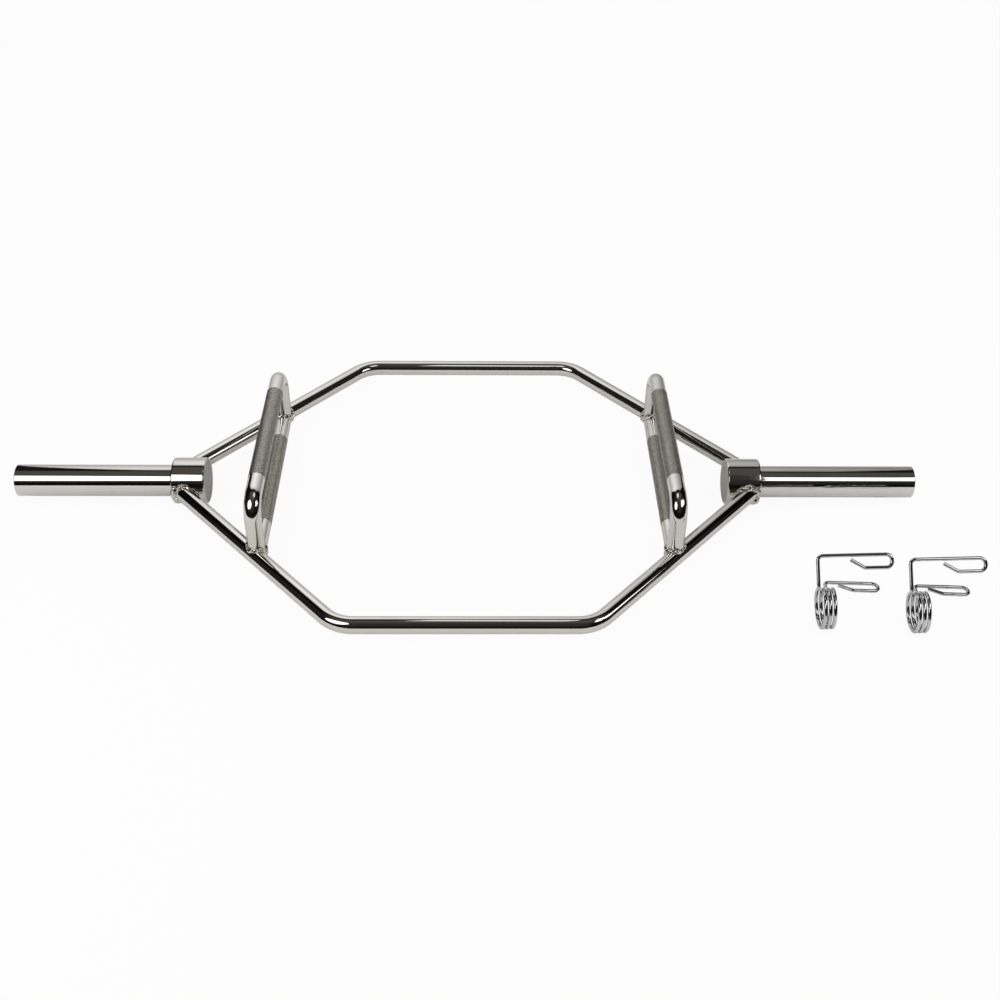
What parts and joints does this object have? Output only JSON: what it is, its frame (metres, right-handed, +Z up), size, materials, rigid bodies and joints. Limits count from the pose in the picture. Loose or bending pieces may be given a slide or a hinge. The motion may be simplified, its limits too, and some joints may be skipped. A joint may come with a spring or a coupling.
{
  "type": "hex trap bar",
  "caption": "Six-sided chromed steel lifting frame with a plate sleeve at each end, low and raised knurled handles, and loose wire spring collars that hold the plates on.",
  "frame": {"origin": "on the floor, below the middle of the frame, at the height of the lowest line of the two hubs", "axes": "+X along the sleeves to the right, +Y from the front run of the frame to the rear run, +Z up"},
  "size_m": [1.4538, 0.6854, 0.1395],
  "materials": {
    "bar_chrome": "polished chrome on bent round bar",
    "hub_chrome": "polished chrome rim, satin inner face",
    "sleeve_chrome": "polished chrome with fine turning lines",
    "plug_chrome": "satin chrome",
    "handle_chrome": "polished chrome with knurled grips",
    "spring_wire": "polished chrome on spring wire"
  },
  "bodies": {
    "bar": {"rear_frame_bar": "bar_chrome", "front_frame_bar": "bar_chrome", "left_hub": "hub_chrome", "right_hub": "hub_chrome", "left_hub_cap": "hub_chrome", "right_hub_cap": "hub_chrome", "left_sleeve": "sleeve_chrome", "right_sleeve": "sleeve_chrome", "left_sleeve_plug": "plug_chrome", "right_sleeve_plug": "plug_chrome", "left_lower_handle": "handle_chrome", "right_lower_handle": "handle_chrome", "left_raised_handle": "handle_chrome", "right_raised_handle": "handle_chrome"},
    "left_collar": {"left_collar_coil": "spring_wire", "left_collar_fixed_lever": "spring_wire"},
    "left_collar_lever": {"left_collar_squeeze_lever": "spring_wire"},
    "right_collar": {"right_collar_coil": "spring_wire", "right_collar_fixed_lever": "spring_wire"},
    "right_collar_lever": {"right_collar_squeeze_lever": "spring_wire"}
  },
  "joints": [
    {"name": "left_collar_lift", "type": "slide", "parent": "bar", "child": "left_collar", "axis": [0, 0, 1], "range_m": [0, 0.3]},
    {"name": "left_collar_squeeze", "type": "hinge", "parent": "left_collar", "child": "left_collar_lever", "pos_m": [0.5169, -0.2891, 0.0307], "axis": [0.9974, -0.0357, 0.0628], "range_deg": [0, 35], "stiffness_Nm_per_rad": 8, "deforming": ["left_collar_coil"]},
    {"name": "right_collar_lift", "type": "slide", "parent": "bar", "child": "right_collar", "axis": [0, 0, 1], "range_m": [0, 0.3]},
    {"name": "right_collar_squeeze", "type": "hinge", "parent": "right_collar", "child": "right_collar_lever", "pos_m": [0.6487, -0.2969, 0.0307], "axis": [0.9974, -0.0357, 0.0628], "range_deg": [0, 35], "stiffness_Nm_per_rad": 8, "deforming": ["right_collar_coil"]}
  ]
}
